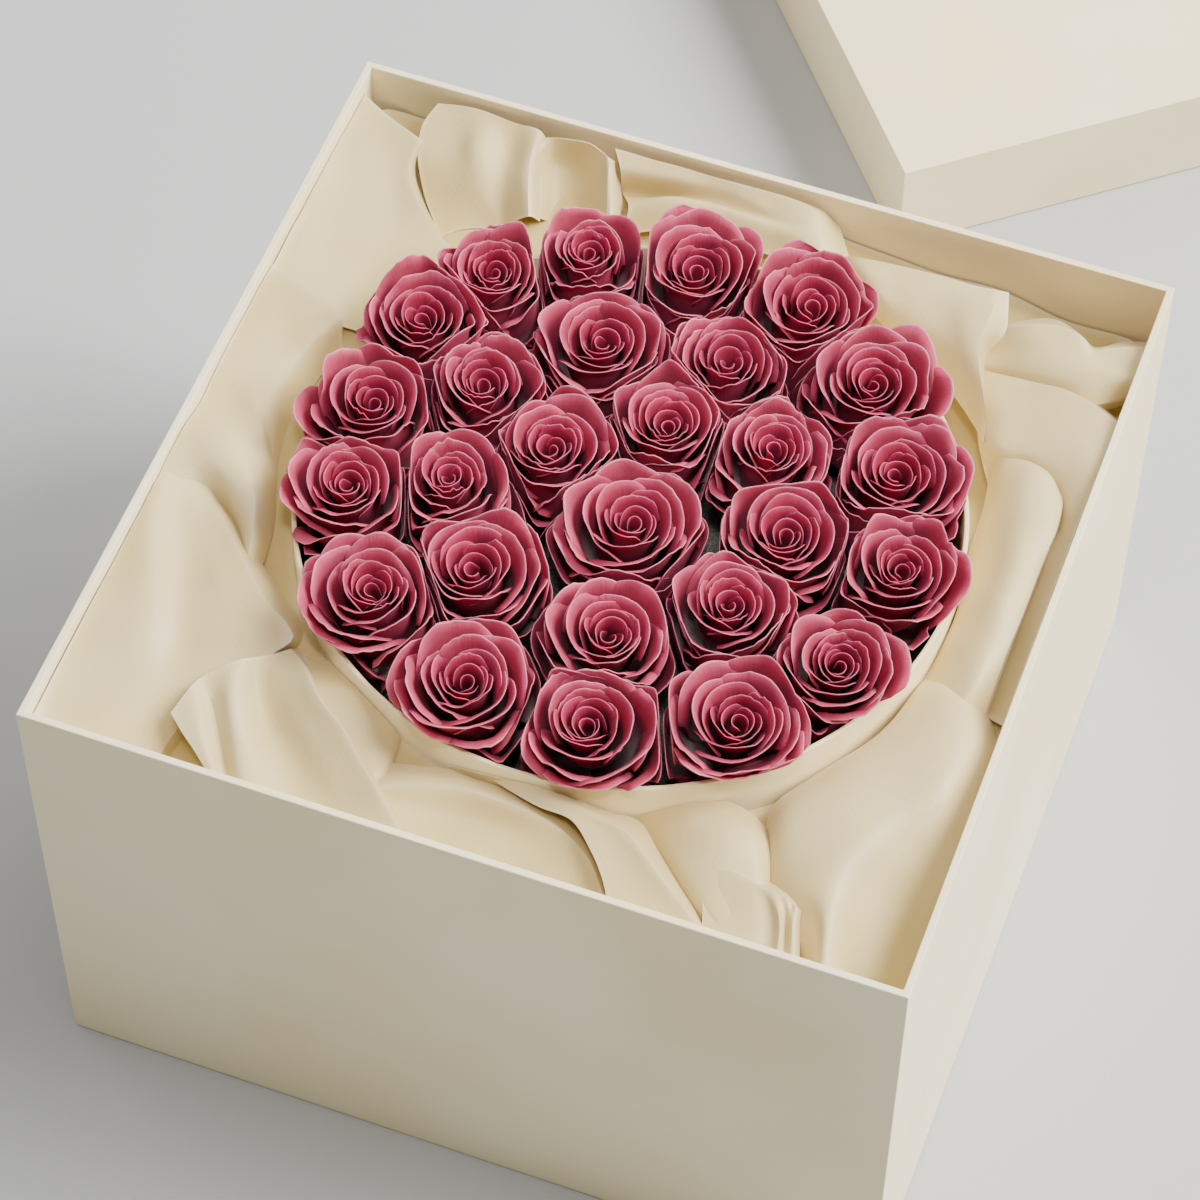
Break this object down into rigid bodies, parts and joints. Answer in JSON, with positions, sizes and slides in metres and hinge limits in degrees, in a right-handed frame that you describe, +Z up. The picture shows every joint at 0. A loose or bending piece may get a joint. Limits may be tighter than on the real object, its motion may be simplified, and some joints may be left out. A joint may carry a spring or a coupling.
{
  "type": "preserved rose arrangement",
  "caption": "Preserved rose heads packed in a round box that stands in a cloth-lined square gift box, with its lid beside it.",
  "frame": {"origin": "middle of the square box's underside, on the surface it stands on", "axes": "+X along the box's front, +Y to its back and towards the lid, +Z up"},
  "size_m": [0.5163, 1.0546, 0.2583],
  "materials": {
    "box_board": "rigid greyboard wrapped in matt ivory paper",
    "drum_board": "thin rolled board wrapped in cream paper",
    "satin": "light ivory satin with a soft sheen",
    "foam": "dark open-cell floral foam",
    "petals": "preserved rose petals, matt and velvety, dusty deep rose",
    "stems": "green sepals and stem wrapped in florist's tape"
  },
  "bodies": {
    "root": {"outer_box": "box_board", "box_lid": "box_board", "round_box": "drum_board", "cloth_liner": "satin", "floral_foam": "foam", "rose_01": "petals", "rose_02": "petals", "rose_03": "petals", "rose_04": "petals", "rose_05": "petals", "rose_06": "petals", "rose_07": "petals", "rose_08": "petals", "rose_09": "petals", "rose_10": "petals", "rose_11": "petals", "rose_12": "petals", "rose_13": "petals", "rose_14": "petals", "rose_15": "petals", "rose_16": "petals", "rose_17": "petals", "rose_18": "petals", "rose_19": "petals", "rose_20": "petals", "rose_21": "petals", "rose_22": "petals", "rose_23": "petals", "rose_24": "petals", "rose_25": "petals", "rose_26": "petals", "rose_27": "petals", "stem_01": "stems", "stem_02": "stems", "stem_03": "stems", "stem_04": "stems", "stem_05": "stems", "stem_06": "stems", "stem_07": "stems", "stem_08": "stems", "stem_09": "stems", "stem_10": "stems", "stem_11": "stems", "stem_12": "stems", "stem_13": "stems", "stem_14": "stems", "stem_15": "stems", "stem_16": "stems", "stem_17": "stems", "stem_18": "stems", "stem_19": "stems", "stem_20": "stems", "stem_21": "stems", "stem_22": "stems", "stem_23": "stems", "stem_24": "stems", "stem_25": "stems", "stem_26": "stems", "stem_27": "stems"}
  },
  "joints": []
}
